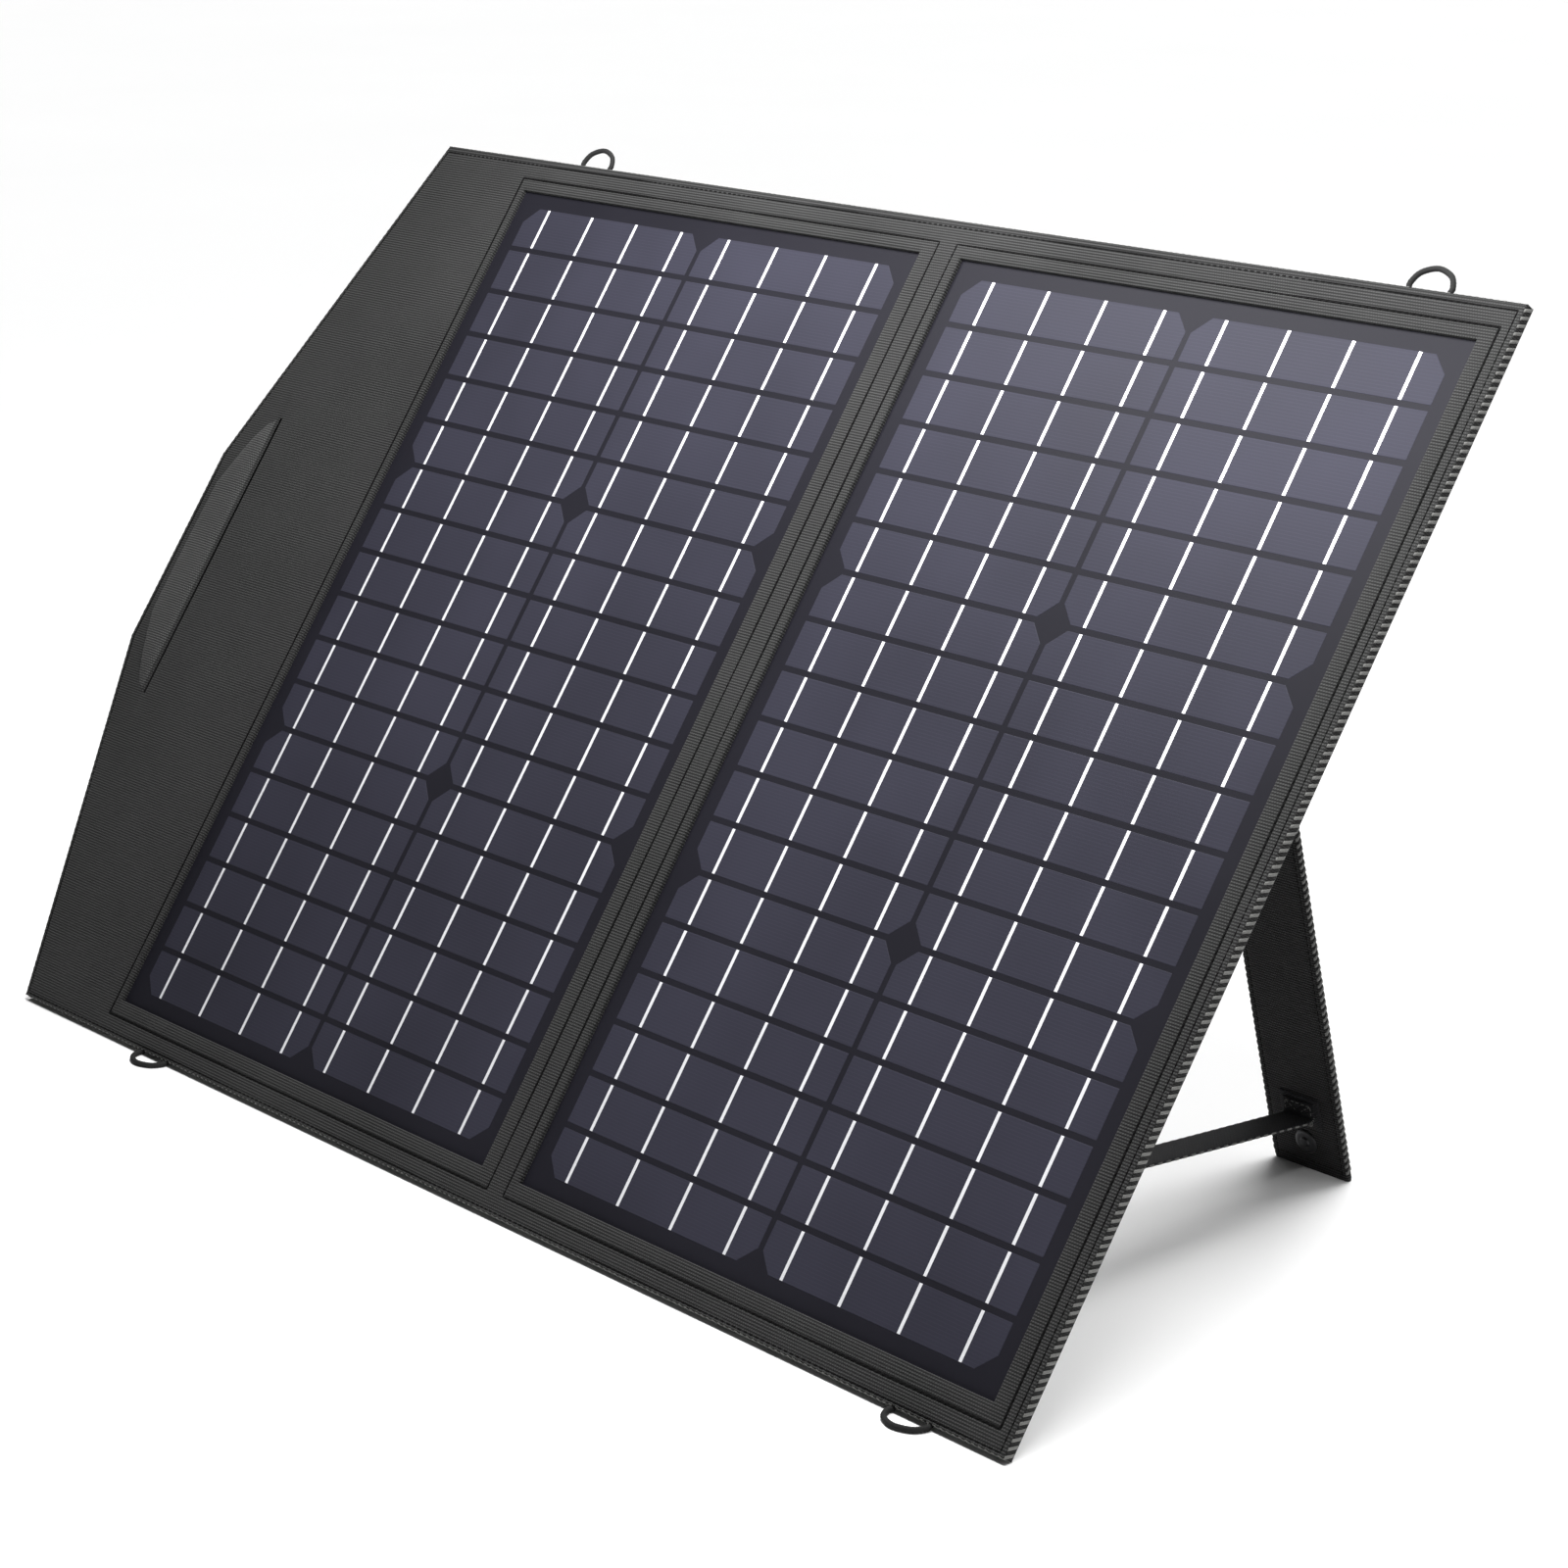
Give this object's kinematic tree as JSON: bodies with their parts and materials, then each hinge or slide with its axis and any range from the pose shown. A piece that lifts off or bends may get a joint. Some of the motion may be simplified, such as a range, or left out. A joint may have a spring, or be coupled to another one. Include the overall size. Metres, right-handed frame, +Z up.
{
  "type": "folding solar panel",
  "caption": "Folding fabric solar panel with two framed cell windows, a handle flap, hem loops, a back pouch with a controller, and strap-stayed back legs.",
  "frame": {"origin": "middle of the part's box in plan, on the floor it stands on", "axes": "+X to the right seen from the front, +Y to the back, +Z up"},
  "size_m": [0.877, 0.376, 0.4813],
  "materials": {
    "fabric": "woven",
    "tape": "woven",
    "webbing": "woven",
    "foam": "matte",
    "board": "matte",
    "backsheet": "satin",
    "silicon": "satin",
    "ribbon": "satin",
    "film": "satin",
    "lead": "matte",
    "cord": "braided",
    "snap": "satin",
    "zip": "satin",
    "zipMetal": "satin",
    "housing": "satin",
    "circuit": "satin",
    "socket": "satin",
    "screw": "satin"
  },
  "bodies": {
    "left_wing": {"left_back_cover": "fabric", "left_board": "board", "left_backsheet": "backsheet", "left_cells": "silicon", "left_ribbons": "ribbon", "left_film": "film", "left_front_frame": "fabric", "left_edge_tape": "tape", "left_lead": "lead", "left_loop_top": "cord", "left_loop_bottom": "cord", "left_leg_tab": "webbing", "left_strap_patch": "webbing", "left_snap_socket": "snap", "left_strap": "webbing", "flap_board": "foam", "grip_pad": "foam", "pouch": "fabric", "zip_chain": "zip", "controller_housing": "housing", "controller_lid": "housing", "controller_circuit": "circuit", "usb_socket_1": "socket", "usb_socket_2": "socket", "dc_socket": "housing", "controller_screw_1": "screw", "controller_screw_2": "screw", "controller_screw_3": "screw", "controller_screw_4": "screw", "spine_band": "fabric"},
    "right_wing": {"right_back_cover": "fabric", "right_board": "board", "right_backsheet": "backsheet", "right_cells": "silicon", "right_ribbons": "ribbon", "right_film": "film", "right_front_frame": "fabric", "right_edge_tape": "tape", "right_lead": "lead", "right_loop_top": "cord", "right_loop_bottom": "cord", "right_leg_tab": "webbing", "right_strap_patch": "webbing", "right_snap_socket": "snap", "right_strap": "webbing"},
    "left_leg": {"left_leg_cover": "fabric", "left_leg_board": "board", "left_snap_stud": "snap", "left_leg_patch": "webbing"},
    "right_leg": {"right_leg_cover": "fabric", "right_leg_board": "board", "right_snap_stud": "snap", "right_leg_patch": "webbing"},
    "zip_slider": {"zip_slider": "zipMetal"},
    "zip_pull": {"zip_pull": "zipMetal"}
  },
  "joints": [
    {"name": "wing_fold", "type": "hinge", "parent": "left_wing", "child": "right_wing", "pos_m": [0.0685, -0.01385, 0.23791], "axis": [0, -0.5707, -0.8211], "range_deg": [0, 180], "deforming": ["spine_band", "right_loop_bottom"]},
    {"name": "left_leg_fold", "type": "hinge", "parent": "left_wing", "child": "left_leg", "pos_m": [-0.1685, 0.08804, 0.36803], "axis": [1, 0, 0], "range_deg": [-48.7, 0], "deforming": ["left_strap"]},
    {"name": "right_leg_fold", "type": "hinge", "parent": "right_wing", "child": "right_leg", "pos_m": [0.3055, 0.08804, 0.36803], "axis": [1, 0, 0], "range_deg": [-48.7, 0], "deforming": ["right_strap"]},
    {"name": "zip_slide", "type": "slide", "parent": "left_wing", "child": "zip_slider", "axis": [0, 0.5707, 0.8211], "range_m": [-0.25, 0]},
    {"name": "zip_pull_swing", "type": "hinge", "parent": "zip_slider", "child": "zip_pull", "pos_m": [-0.3675, 0.08705, 0.32001], "axis": [1, 0, 0], "range_deg": [-34, 140]}
  ]
}
